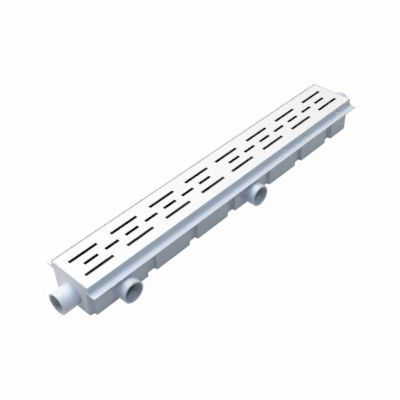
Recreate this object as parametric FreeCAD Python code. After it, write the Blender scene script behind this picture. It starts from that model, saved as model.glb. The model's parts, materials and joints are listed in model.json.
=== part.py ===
import FreeCAD, Part
import os

# Linear shower channel drain: one injection-moulded PVC channel body and one
# lift-out slotted grate.  Millimetres, +Z up.  The origin is the centre of the
# body's flat underside, +X runs along the channel, and the two side outlets
# leave through the wall on the -Y side.

os.makedirs("parts", exist_ok=True)
V = FreeCAD.Vector

# ---------------------------------------------------------------- channel body
HALF_L = 350.0          # half of the overall length over the end walls
RIM_HALF_W = 46.0       # half of the width over the upright rim
RIM_TOP = 69.6          # top of the rim above the underside
TROUGH_WALL = 2.4       # thickness of the trough walls
RIM_LIP = 1.4           # thickness of the upright rim round the grate
FLOOR = 2.6             # thickness of the trough floor

FLANGE_TOP = 55.6       # upper face of the side flanges and of the grate ledges
FLANGE_THK = 2.2        # thickness of the flange plate
FLANGE_HALF_W = 60.5    # half of the width over the two flanges
COVE_R = 6.0            # concave sweep from the flange up into the rim
FLANGE_EDGE_R = 0.9     # rounding of the flange's long edges

RIM_CORNER_R = 1.2      # upright corners of the rim
RIM_TOP_R = 0.9         # rounding of the rim's outer top edge

RECESS_HALF_W = 39.2    # half width of the trough at the recesses
PANEL_HALF_W = 45.7     # half width of the trough at the proud panels
WALL_DRAFT = 0.2        # how far each trough wall leans in over its height
PANEL_PITCH = 100.0     # spacing of the recesses along the wall
RECESS_FIRST = -218.6   # middle of the first recess
RECESS_COUNT = 6
RECESS_LEN = 20.0       # length of a recess at the panel face
STEP_RUN = 1.4          # how far each step between panel and recess leans
END_NOTCH = 9.0         # length of the notch between panel and end wall on the -Y side
END_CORNER_R = 4.0      # upright corners of the end walls
PANEL_CORNER_R = 1.8    # upright corners of the proud panels
FLOOR_CHAMFER = 0.6     # broken edge round the underside

# -------------------------------------------------------------------- spigots
SPIGOT_R = 20.5         # outside radius of a 40 mm nominal push-fit spigot
SPIGOT_WALL = 3.0
SIDE_SPIGOT_Z = 28.3    # height of the side outlets' axes
END_SPIGOT_Z = 26.0     # height of the end outlets' axis
SIDE_SPIGOT_X = (-285.0, 28.0)
SIDE_SPIGOT_END = 74.6  # distance of the side mouths from the middle plane
END_SPIGOT_END = (-382.0, 392.0)  # mouths of the end outlets along X
MOUTH_CHAMFER = 0.4

# ---------------------------------------------------------------------- grate
GRATE_TOP = 68.4
GRATE_GAP = 0.3         # clearance all round inside the rim
GRATE_PLATE = 1.8
GRATE_RIB = 2.2         # thickness of the skirt and the ribs
SKIRT_INSET = 4.0       # how far the skirt stands in from the plate's edge
GRATE_CORNER_R = 1.5
GRATE_EDGE_R = 0.6

SLOT_W = 6.0
SLOT_END_R = 1.0        # rounding of the slot's corners
LONG_SLOT = 58.2        # slots of the two outer rows
SHORT_SLOT = 28.6       # slots of the middle row
ROW_Y = 20.8            # offset of the outer rows
SLOT_PITCH = 88.0       # spacing of the slot groups
FIRST_GROUP = 40.1      # first group each side of the plain middle
GROUPS = 4              # groups on each side


def face_of(points):
    """Planar face inside a closed outline."""
    return Part.Face(Part.makePolygon(points + [points[0]]))


def box(x0, y0, z0, x1, y1, z1):
    return Part.makeBox(x1 - x0, y1 - y0, z1 - z0, V(x0, y0, z0))


def rounded_rect(half_x, half_y, radius, z, cx=0.0, cy=0.0):
    """Wire of a rectangle with rounded corners."""
    face = face_of([V(cx - half_x, cy - half_y, z), V(cx + half_x, cy - half_y, z),
                    V(cx + half_x, cy + half_y, z), V(cx - half_x, cy + half_y, z)])
    solid = face.extrude(V(0, 0, 1))
    upright = [e for e in solid.Edges if abs(e.Length - 1) < 1e-6]
    solid = solid.makeFillet(radius, upright)
    low = min(solid.Faces, key=lambda f: f.CenterOfMass.z)
    return low.OuterWire


def rounded_block(half_x, half_y, radius, z0, z1, cx=0.0, cy=0.0):
    return Part.Face(rounded_rect(half_x, half_y, radius, z0, cx, cy)).extrude(V(0, 0, z1 - z0))


# ------------------------------------------------------------ corrugated trough
def side_profile(inset, notched):
    """Plan of one long wall from the -X end to the +X end: a row of proud
    panels and shallow recesses joined by leaning steps.  A notched wall also
    steps in beside both end walls."""
    panel, recess = PANEL_HALF_W - inset, RECESS_HALF_W - inset
    end, step = HALF_L - inset, HALF_L - END_NOTCH
    points = [(-end, recess), (-step - STEP_RUN, recess), (-step, panel)] if notched else [(-end, panel)]
    for i in range(RECESS_COUNT):
        mid = RECESS_FIRST + i * PANEL_PITCH
        half_top = RECESS_LEN / 2
        half_low = half_top - STEP_RUN
        points += [(mid - half_top, panel), (mid - half_low, recess),
                   (mid + half_low, recess), (mid + half_top, panel)]
    points += [(step, panel), (step + STEP_RUN, recess), (end, recess)] if notched else [(end, panel)]
    return points


def shift_steps(points, shift):
    """Move the steps of a plan along the wall, so that an inner plan keeps
    the wall's thickness where the outer plan leans."""
    out = [points[0]]
    for i, (x, y) in enumerate(points[1:-1], start=1):
        before, after = points[i - 1][1], points[i + 1][1]
        rising = after > y or before < y
        out.append((x + shift if rising else x - shift, y))
    out.append(points[-1])
    return out


def trough_plan(inset, shift, z, draft):
    """Corner points of the trough's closed outline at height z."""
    front = [V(x, -(y - draft), z) for x, y in shift_steps(side_profile(inset, True), shift)]
    back = [V(x, y - draft, z) for x, y in shift_steps(side_profile(inset, False), shift)]
    return front + back[::-1]


def trough_solid(inset, shift, z0, z1):
    """Drafted solid between two plans; the draft grows towards the floor."""
    def draft(z):
        return WALL_DRAFT * (FLANGE_TOP - z) / FLANGE_TOP
    low = trough_plan(inset, shift, z0, draft(z0))
    high = trough_plan(inset, shift, z1, draft(z1))
    faces = [face_of(low), face_of(high)]
    for i in range(len(low)):
        j = (i + 1) % len(low)
        faces.append(face_of([low[i], low[j], high[j], high[i]]))
    return Part.Solid(Part.Shell(faces)).removeSplitter()


def is_upright(edge, height):
    a, b = edge.Vertexes[0].Point, edge.Vertexes[-1].Point
    return abs(abs(a.z - b.z) - height) < 1e-6 and abs(a.x - b.x) < 2


def trough_outside():
    """Outer skin of the trough with its upright corners rounded and its floor
    edge broken."""
    solid = trough_solid(0.0, 0.0, 0.0, FLANGE_TOP)
    ends = [e for e in solid.Edges if is_upright(e, FLANGE_TOP)
            and abs(e.CenterOfMass.x) > HALF_L - 1]
    solid = solid.makeFillet(END_CORNER_R, ends)
    proud = [e for e in solid.Edges if is_upright(e, FLANGE_TOP)
             and abs(e.CenterOfMass.y) > PANEL_HALF_W - 1
             and abs(e.CenterOfMass.x) < HALF_L - END_CORNER_R - 1]
    solid = solid.makeFillet(PANEL_CORNER_R, proud)
    rim = [e for e in solid.Edges if e.BoundBox.ZMax < 1e-6]
    return solid.makeChamfer(FLOOR_CHAMFER, rim)


# -------------------------------------------------------------- rim and flanges
def flange_section(side):
    """Cross-section of one flange with its concave sweep up into the rim."""
    y0, y1 = RIM_HALF_W - RIM_LIP, FLANGE_HALF_W
    z0, z1 = FLANGE_TOP - FLANGE_THK, FLANGE_TOP
    sweep = COVE_R * (1 - 0.5 ** 0.5)

    def p(y, z):
        return V(-HALF_L, side * y, z)
    wall = RIM_HALF_W
    edges = [Part.makeLine(p(y0, z0), p(y1, z0)),
             Part.makeLine(p(y1, z0), p(y1, z1)),
             Part.makeLine(p(y1, z1), p(wall + COVE_R, z1)),
             Part.Arc(p(wall + COVE_R, z1), p(wall + sweep, z1 + sweep),
                      p(wall, z1 + COVE_R)).toShape(),
             Part.makeLine(p(wall, z1 + COVE_R), p(y0, z1 + COVE_R)),
             Part.makeLine(p(y0, z1 + COVE_R), p(y0, z0))]
    return Part.Face(Part.Wire(edges))


def flange(side):
    solid = flange_section(side).extrude(V(2 * HALF_L, 0, 0))
    tip = [e for e in solid.Edges if abs(abs(e.CenterOfMass.y) - FLANGE_HALF_W) < 1e-6
           and e.Length > HALF_L]
    return solid.makeFillet(FLANGE_EDGE_R, tip)


def rim_block():
    """Upright rim before it is hollowed, from the flange's underside up."""
    solid = rounded_block(HALF_L, RIM_HALF_W, RIM_CORNER_R, FLANGE_TOP - FLANGE_THK, RIM_TOP)
    top = [e for e in solid.Edges if e.BoundBox.ZMin > RIM_TOP - 1e-6]
    return solid.makeFillet(RIM_TOP_R, top)


# -------------------------------------------------------------------- spigots
def spigots():
    """(start point, direction, length) of each outlet; every tube starts
    inside the trough's wall."""
    inside = TROUGH_WALL / 2
    rows = [(V(x, -PANEL_HALF_W + inside, SIDE_SPIGOT_Z), V(0, -1, 0),
             SIDE_SPIGOT_END - PANEL_HALF_W + inside) for x in SIDE_SPIGOT_X]
    for end in END_SPIGOT_END:
        way = 1 if end > 0 else -1
        rows.append((V(way * (HALF_L - inside), 0, END_SPIGOT_Z), V(way, 0, 0),
                     abs(end) - HALF_L + inside))
    return rows


def spigot_tube(start, way, length):
    """Outlet stub with a small lead-in chamfer round its mouth."""
    tube = Part.makeCylinder(SPIGOT_R, length, start, way)
    mouth = [e for e in tube.Edges if (e.CenterOfMass - start).dot(way) > length - 1e-6
             and e.Closed]
    return tube.makeChamfer(MOUTH_CHAMFER, mouth[:1])


def spigot_bore(start, way, length):
    """Passage from the trough out through the wall and the stub."""
    back = 6.0
    return Part.makeCylinder(SPIGOT_R - SPIGOT_WALL, length + 2 * back,
                             start - way * back, way)


def channel_body():
    solid = trough_outside().fuse([rim_block(), flange(-1), flange(1)])
    solid = solid.fuse([spigot_tube(*row) for row in spigots()])
    hollow = trough_solid(TROUGH_WALL, TROUGH_WALL * 0.7, FLOOR, FLANGE_TOP)
    pocket = box(-HALF_L + RIM_LIP, -RIM_HALF_W + RIM_LIP, FLANGE_TOP,
                 HALF_L - RIM_LIP, RIM_HALF_W - RIM_LIP, RIM_TOP + 1)
    solid = solid.cut([hollow, pocket] + [spigot_bore(*row) for row in spigots()])
    return solid.removeSplitter()


# ---------------------------------------------------------------------- grate
def slot_places():
    """(x, y, length) of every slot: two outer rows of long slots and a middle
    row of short ones, with nothing at the very middle of the plate."""
    rows = []
    for way in (-1, 1):
        for i in range(GROUPS):
            x = way * (FIRST_GROUP + i * SLOT_PITCH)
            rows += [(x, -ROW_Y, LONG_SLOT), (x, ROW_Y, LONG_SLOT), (x, 0.0, SHORT_SLOT)]
            if i < GROUPS - 1:
                rows.append((x + way * SLOT_PITCH / 2, 0.0, SHORT_SLOT))
    return rows


def grate():
    half_x = HALF_L - RIM_LIP - GRATE_GAP
    half_y = RIM_HALF_W - RIM_LIP - GRATE_GAP
    under = GRATE_TOP - GRATE_PLATE
    plate = rounded_block(half_x, half_y, GRATE_CORNER_R, under, GRATE_TOP)
    top = [e for e in plate.Edges if e.BoundBox.ZMin > GRATE_TOP - 1e-6]
    plate = plate.makeFillet(GRATE_EDGE_R, top)

    # Skirt that stands on the ledges, and the ribs between the slot rows.
    sx, sy = half_x - SKIRT_INSET, half_y - SKIRT_INSET
    skirt = box(-sx, -sy, FLANGE_TOP, sx, sy, under).cut(
        box(-sx + GRATE_RIB, -sy + GRATE_RIB, FLANGE_TOP - 1, sx - GRATE_RIB, sy - GRATE_RIB,
            under + 1))
    rib_low = FLANGE_TOP + 3.0
    ribs = []
    for side in (-1, 1):
        y = side * ROW_Y / 2
        ribs.append(box(-sx + 1, y - GRATE_RIB / 2, rib_low, sx - 1, y + GRATE_RIB / 2, under))
    for way in (-1, 1):
        for i in range(GROUPS):
            x = way * (FIRST_GROUP + (i + 0.5) * SLOT_PITCH) if i < GROUPS - 1 else None
            if x is None:
                continue
            for side in (-1, 1):
                y0, y1 = sorted((side * ROW_Y / 2, side * (sy - 1)))
                ribs.append(box(x - GRATE_RIB / 2, y0, rib_low, x + GRATE_RIB / 2, y1, under))
    solid = plate.fuse([skirt] + ribs)

    cuts = [rounded_block(length / 2, SLOT_W / 2, SLOT_END_R, under - 1, GRATE_TOP + 1, x, y)
            for x, y, length in slot_places()]
    return solid.cut(cuts).removeSplitter()


for name, solid in (("channel_body", channel_body()), ("grate", grate())):
    solid.exportStep("parts/%s.step" % name)
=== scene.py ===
import bpy
import json
import math
from mathutils import Matrix, Vector


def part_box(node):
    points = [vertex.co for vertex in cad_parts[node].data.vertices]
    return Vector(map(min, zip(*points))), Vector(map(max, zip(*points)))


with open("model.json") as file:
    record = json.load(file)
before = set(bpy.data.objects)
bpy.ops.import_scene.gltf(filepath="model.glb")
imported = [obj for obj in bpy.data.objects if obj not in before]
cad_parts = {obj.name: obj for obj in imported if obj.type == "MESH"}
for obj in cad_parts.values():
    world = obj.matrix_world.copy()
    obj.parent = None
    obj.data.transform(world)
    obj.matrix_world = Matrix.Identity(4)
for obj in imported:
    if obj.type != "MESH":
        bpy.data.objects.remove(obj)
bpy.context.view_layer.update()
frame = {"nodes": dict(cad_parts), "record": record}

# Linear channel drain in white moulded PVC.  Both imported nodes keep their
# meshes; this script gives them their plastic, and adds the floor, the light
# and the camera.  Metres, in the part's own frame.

GRATE_LOW, GRATE_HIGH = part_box("grate")
GRATE_TOP = GRATE_HIGH[2]
LEDGE = GRATE_LOW[2]                    # level of the ledges that carry the grate
STUBS = [m for m in frame["record"]["mounts"] if m["kind"] == "pin"]

# Camera, at the viewing angle and with its own small roll.
CAMERA_AZIMUTH = math.radians(-44.493)
CAMERA_HEIGHT = math.radians(40.632)
CAMERA_ROLL = math.radians(-2.967)
CAMERA_DISTANCE = 1.19172
CAMERA_TARGET = Vector((-0.08546, -0.03176, GRATE_TOP))
CAMERA_LENS = 61.664                    # millimetres, on a 36 mm sensor
CAMERA_SENSOR = 36.0
CAMERA_CLIP = (0.05, 50.0)

# Plastics, as linear colours.
BODY_COLOUR = (0.80, 0.84, 0.89)
GRATE_COLOUR = (0.96, 0.96, 0.96)
BODY_ROUGHNESS = 0.33
GRATE_ROUGHNESS = 0.38
CLOUD_TONE = 0.985                      # darkest share of the colour in the clouding
GLOSS_SPREAD = 0.03                     # roughness, either way
SKIN_STRENGTH = 0.12                    # orange-peel bump
SKIN_DEPTH = 0.00004
CLOUD_SCALE, CLOUD_DETAIL = 9.0, 3.0    # noise scales, per metre
GLOSS_SCALE, SKIN_SCALE = 60.0, 900.0
FINE_DETAIL = 2.0
NOISE_MIDDLE = (0.3, 0.7)               # the range that most of a noise's values fill
PVC_IOR = 1.53

# Painted shade: where the closed trough, the grate's skirt and ribs and the stubs'
# bores lie in the dark, a dark colour is painted in.  The limits lie just past the faces
# that they take in.
PAINTED_SHADE_COLOUR = (0.03, 0.031, 0.032)
PLATE_SKIN = 0.0003                     # depth of the grate's lit top skin, kept free of the painted shade
SKIRT_INSET = 0.0038                    # from the plate's edge to the skirt's outside
END_INSIDE = 0.3478                     # inner faces of the end walls
RECESS_INSIDE = 0.0369                  # inner faces of the recesses
PANEL_INSIDE = 0.0438                   # inner faces of the proud panels
FLOOR_MIDDLE = 0.0020                   # between the underside and the trough's floor
FLOOR_FACE = 0.0030                     # just above the trough's floor
FACES_INWARD = -0.3                     # side faces that look towards the middle
FACES_UP = 0.5
FLOOR_PAINTED_LIGHT = 0.9                    # share of the painted shade taken off the trough's floor: painted light through the slots
STUB_WALL = 0.003
BORE_MARGIN = 0.0003                    # takes in the bore's own facets
BORE_RUN_ON = 0.01                      # past the stub's root, through the trough's wall
BORE_PAINT_LIT, BORE_PAINT_DARK = 0.012, 0.024      # depth from a stub's mouth where painted shade starts and where it is full

# Soft boxes on a dome round the part.  Azimuth 0 is +X and 90 is +Y.
LAMP_REACH = 2.4
LAMP_AIM = Vector((0, 0, 0.03))
LAMPS = [  # name, azimuth, height, size, watts, tint
    ("overhead", 90, 88, (1.3, 1.3), 14.3, (0.91, 0.93, 1.0)),
    ("back_left", 120, 65, (1.3, 1.3), 16.1, (0.65, 0.94, 1.0)),
    ("back_right", 60, 65, (1.3, 1.3), 18.8, (1.0, 0.67, 0.45)),
    ("low_back_left", 135, 25, (1.3, 1.0), 21.8, (1.0, 0.85, 0.75)),
    ("front", -90, 60, (1.3, 1.3), 13.8, (0.60, 0.83, 1.0)),
    ("left", 180, 40, (1.3, 1.3), 3.7, (0.03, 0.35, 1.0)),
]

FLOOR_HALF = 3.0
FLOOR_LEVEL = -0.0005
FLOOR_COLOUR = (0.6, 0.6, 0.6)
FLOOR_WHITE = 0.97                      # share of plain white in the floor as seen


# ------------------------------------------------------------ node helpers
def math_node(tree, operation, a, b=None):
    """Math on sockets or numbers."""
    node = tree.nodes.new("ShaderNodeMath")
    node.operation = operation
    for socket, value in zip(node.inputs, (a, b)):
        if isinstance(value, bpy.types.NodeSocket):
            tree.links.new(value, socket)
        elif value is not None:
            socket.default_value = value
    return node.outputs[0]


def vector_node(tree, operation, a, b, output):
    """Vector math on a socket and, where b is given, a fixed vector."""
    node = tree.nodes.new("ShaderNodeVectorMath")
    node.operation = operation
    tree.links.new(a, node.inputs[0])
    if b is not None:
        node.inputs[1].default_value = b
    return node.outputs[output]


def below(tree, value, limit):
    return math_node(tree, "LESS_THAN", value, limit)


def above(tree, value, limit):
    return math_node(tree, "GREATER_THAN", value, limit)


def all_of(tree, first, *others):
    """Product of masks: 1 only where every mask is 1."""
    for mask in others:
        first = math_node(tree, "MULTIPLY", first, mask)
    return first


def any_of(tree, first, *others):
    """Largest of masks: 1 where at least one mask is 1."""
    for mask in others:
        first = math_node(tree, "MAXIMUM", first, mask)
    return first


def components(tree, vector):
    node = tree.nodes.new("ShaderNodeSeparateXYZ")
    tree.links.new(vector, node.inputs[0])
    return node.outputs[0], node.outputs[1], node.outputs[2]


def colour_mix(tree, factor, a, b):
    """Blend from colour a to colour b; a may be a socket."""
    node = tree.nodes.new("ShaderNodeMix")
    node.data_type = "RGBA"
    tree.links.new(factor, node.inputs["Factor"])
    if isinstance(a, bpy.types.NodeSocket):
        tree.links.new(a, node.inputs["A"])
    else:
        node.inputs["A"].default_value = (*a, 1)
    node.inputs["B"].default_value = (*b, 1)
    return node.outputs["Result"]


def noise(tree, surface, scale, detail):
    node = tree.nodes.new("ShaderNodeTexNoise")
    node.inputs["Scale"].default_value = scale
    node.inputs["Detail"].default_value = detail
    tree.links.new(surface, node.inputs["Vector"])
    return node.outputs["Fac"]


def stretch(tree, source, low, high):
    """Spread the middle of a noise over the range from low to high."""
    node = tree.nodes.new("ShaderNodeMapRange")
    node.inputs["From Min"].default_value = NOISE_MIDDLE[0]
    node.inputs["From Max"].default_value = NOISE_MIDDLE[1]
    node.inputs["To Min"].default_value = low
    node.inputs["To Max"].default_value = high
    tree.links.new(source, node.inputs["Value"])
    return node.outputs["Result"]


def new_tree(owner):
    """Empty node tree of a material or a world."""
    owner.use_nodes = True
    owner.node_tree.nodes.clear()
    return owner.node_tree


# ------------------------------------------------------------- painted shade in hidden places
def grate_painted_shade(tree, surface):
    """Painted shade mask: 1 on the skirt, the ribs and the slots' walls, 0 on the plate's
    top.
    """
    x, y, z = components(tree, surface)
    return all_of(tree, below(tree, z, GRATE_TOP - PLATE_SKIN),
                  below(tree, math_node(tree, "ABSOLUTE", x), GRATE_HIGH[0] - SKIRT_INSET),
                  below(tree, math_node(tree, "ABSOLUTE", y), GRATE_HIGH[1] - SKIRT_INSET))


def trough_painted_shade(tree, surface):
    """Painted shade mask: 1 on the walls that look into the closed trough, less on
    its floor, where painted light through the slots lifts it, and 0 on the outside."""
    x, y, z = components(tree, surface)
    geometry = tree.nodes.new("ShaderNodeNewGeometry")
    _, side_facing, up_facing = components(tree, geometry.outputs["True Normal"])
    between_ends = below(tree, math_node(tree, "ABSOLUTE", x), END_INSIDE)
    aside = math_node(tree, "ABSOLUTE", y)
    outward = math_node(tree, "MULTIPLY", math_node(tree, "SIGN", y), side_facing)
    recesses = all_of(tree, between_ends, below(tree, aside, RECESS_INSIDE))
    panels = all_of(tree, between_ends, below(tree, aside, PANEL_INSIDE),
                    below(tree, outward, FACES_INWARD))
    floor_face = all_of(tree, above(tree, up_facing, FACES_UP), below(tree, z, FLOOR_FACE))
    # painted light: the light through the slots is painted onto the floor as less shade
    painted_floor_light = math_node(tree, "MULTIPLY", floor_face, FLOOR_PAINTED_LIGHT)
    # painted shade on the trough's walls, less on its floor
    shade = math_node(tree, "SUBTRACT", any_of(tree, recesses, panels, floor_face), painted_floor_light)
    return all_of(tree, shade, below(tree, z, LEDGE), above(tree, z, FLOOR_MIDDLE))


def bore_painted_shade(tree, surface, stub):
    """Painted shade mask: 0 at a stub's mouth, rising to 1 down its bore, and 0 off the
    bore.
    """
    axis = Vector(stub["axis"])
    length = stub["dims"]["length_mm"] / 1000
    radius = stub["dims"]["r_mm"] / 1000 - STUB_WALL
    mouth = Vector(stub["pos_m"]) + axis * length / 2
    offset = vector_node(tree, "SUBTRACT", surface, mouth, "Vector")
    depth = vector_node(tree, "DOT_PRODUCT", offset, -axis, "Value")
    sideways = vector_node(tree, "CROSS_PRODUCT", offset, axis, "Vector")
    aside = vector_node(tree, "LENGTH", sideways, None, "Value")
    # painted shade, growing deeper down the bore
    bore_painted_darkening = tree.nodes.new("ShaderNodeMapRange")
    bore_painted_darkening.interpolation_type = "SMOOTHSTEP"
    bore_painted_darkening.inputs["From Min"].default_value = BORE_PAINT_LIT
    bore_painted_darkening.inputs["From Max"].default_value = BORE_PAINT_DARK
    tree.links.new(depth, bore_painted_darkening.inputs["Value"])
    return all_of(tree, bore_painted_darkening.outputs["Result"],
                  below(tree, aside, radius + BORE_MARGIN),
                  below(tree, depth, length + BORE_RUN_ON))


def body_painted_shade(tree, surface):
    """Painted shade of the closed trough and of the four stubs' bores together."""
    bores = [bore_painted_shade(tree, surface, stub) for stub in STUBS]
    return any_of(tree, trough_painted_shade(tree, surface), *bores)


# ---------------------------------------------------------------- materials
def moulded_plastic(name, colour, roughness, painted_shade_mask):
    """Satin injection-moulded PVC: faint cloudiness of tone, a fine orange-peel
    skin and slightly uneven gloss, with a dark colour painted in as shade where the given
    mask says."""
    material = bpy.data.materials.new(name)
    tree = new_tree(material)
    out = tree.nodes.new("ShaderNodeOutputMaterial")
    plastic = tree.nodes.new("ShaderNodeBsdfPrincipled")
    plastic.inputs["IOR"].default_value = PVC_IOR
    tree.links.new(plastic.outputs["BSDF"], out.inputs["Surface"])
    surface = tree.nodes.new("ShaderNodeTexCoord").outputs["Object"]

    clouds = stretch(tree, noise(tree, surface, CLOUD_SCALE, CLOUD_DETAIL), 0.0, 1.0)
    tone = colour_mix(tree, clouds, [CLOUD_TONE * c for c in colour], colour)
    # Painted shade: the dark colour blended in where the mask is 1.
    with_painted_shade = colour_mix(tree, painted_shade_mask(tree, surface), tone, PAINTED_SHADE_COLOUR)
    tree.links.new(with_painted_shade, plastic.inputs["Base Color"])

    gloss = stretch(tree, noise(tree, surface, GLOSS_SCALE, FINE_DETAIL),
                    roughness - GLOSS_SPREAD, roughness + GLOSS_SPREAD)
    tree.links.new(gloss, plastic.inputs["Roughness"])

    skin = tree.nodes.new("ShaderNodeBump")
    skin.inputs["Strength"].default_value = SKIN_STRENGTH
    skin.inputs["Distance"].default_value = SKIN_DEPTH
    tree.links.new(noise(tree, surface, SKIN_SCALE, FINE_DETAIL), skin.inputs["Height"])
    tree.links.new(skin.outputs["Normal"], plastic.inputs["Normal"])
    return material


def repaint(node, material):
    for slot in frame["nodes"][node].material_slots:
        slot.material = material


# ------------------------------------------------------- light, floor, camera
def place_object(name, data):
    placed = bpy.data.objects.new(name, data)
    bpy.context.scene.collection.objects.link(placed)
    return placed


def soft_lamp(name, azimuth, height, size, watts, tint):
    """Square or oblong soft box on the dome, aimed at the part."""
    turn = math.radians(azimuth)
    rise = math.radians(height)
    place = LAMP_REACH * Vector((math.cos(turn) * math.cos(rise),
                                 math.sin(turn) * math.cos(rise), math.sin(rise)))
    data = bpy.data.lights.new(name, "AREA")
    data.shape = "RECTANGLE"
    data.size, data.size_y = size
    data.energy = watts
    data.color = tint
    facing = (LAMP_AIM - place).to_track_quat("-Z", "Y").to_matrix().to_4x4()
    place_object(name, data).matrix_world = Matrix.Translation(place) @ facing


def seen_directly(tree):
    """1 for camera, glossy and transmission rays, 0 for the light itself."""
    path = tree.nodes.new("ShaderNodeLightPath")
    rays = ("Is Camera Ray", "Is Glossy Ray", "Is Transmission Ray")
    return any_of(tree, *(path.outputs[ray] for ray in rays))


def white_backdrop():
    """World that is plain white where it is seen and lights nothing."""
    world = bpy.data.worlds.new("studio")
    bpy.context.scene.world = world
    tree = new_tree(world)
    out = tree.nodes.new("ShaderNodeOutputWorld")
    white = tree.nodes.new("ShaderNodeBackground")
    white.inputs["Color"].default_value = (1, 1, 1, 1)
    tree.links.new(seen_directly(tree), white.inputs["Strength"])
    tree.links.new(white.outputs[0], out.inputs["Surface"])


def floor_material():
    """Pale matt floor that keeps a little of the part's shadow and is near
    white where it is seen."""
    material = bpy.data.materials.new("floor_white")
    tree = new_tree(material)
    out = tree.nodes.new("ShaderNodeOutputMaterial")
    matt = tree.nodes.new("ShaderNodeBsdfDiffuse")
    matt.inputs["Color"].default_value = (*FLOOR_COLOUR, 1)
    white = tree.nodes.new("ShaderNodeEmission")
    white.inputs["Color"].default_value = (1, 1, 1, 1)
    white.inputs["Strength"].default_value = 1.0
    mix = tree.nodes.new("ShaderNodeMixShader")
    share = math_node(tree, "MULTIPLY", seen_directly(tree), FLOOR_WHITE)
    tree.links.new(share, mix.inputs["Fac"])
    tree.links.new(matt.outputs[0], mix.inputs[1])
    tree.links.new(white.outputs[0], mix.inputs[2])
    tree.links.new(mix.outputs[0], out.inputs["Surface"])
    return material


def floor():
    """Plain pale floor just under the part."""
    h = FLOOR_HALF
    mesh = bpy.data.meshes.new("floor")
    mesh.from_pydata([(-h, -h, 0), (h, -h, 0), (h, h, 0), (-h, h, 0)], [], [(0, 1, 2, 3)])
    mesh.materials.append(floor_material())
    plane = place_object("floor", mesh)
    plane.location.z = FLOOR_LEVEL


def aim_camera():
    back = Vector((math.sin(CAMERA_AZIMUTH) * math.cos(CAMERA_HEIGHT),
                   -math.cos(CAMERA_AZIMUTH) * math.cos(CAMERA_HEIGHT),
                   math.sin(CAMERA_HEIGHT)))
    level = Vector((0, 0, 1)).cross(back).normalized()
    down = level.cross(back)
    right = math.cos(CAMERA_ROLL) * level - math.sin(CAMERA_ROLL) * down
    up = -(math.sin(CAMERA_ROLL) * level + math.cos(CAMERA_ROLL) * down)
    facing = Matrix((right, up, back)).transposed().to_4x4()
    data = bpy.data.cameras.new("camera")
    data.sensor_width = CAMERA_SENSOR
    data.lens = CAMERA_LENS
    data.clip_start, data.clip_end = CAMERA_CLIP
    camera = place_object("camera", data)
    camera.matrix_world = Matrix.Translation(CAMERA_TARGET + CAMERA_DISTANCE * back) @ facing
    bpy.context.scene.camera = camera


aim_camera()
white_backdrop()
for lamp in LAMPS:
    soft_lamp(*lamp)
floor()
repaint("channel_body", moulded_plastic("pvc_body", BODY_COLOUR, BODY_ROUGHNESS, body_painted_shade))
repaint("grate", moulded_plastic("pvc_grate", GRATE_COLOUR, GRATE_ROUGHNESS, grate_painted_shade))

bpy.context.scene.view_settings.view_transform = "Standard"
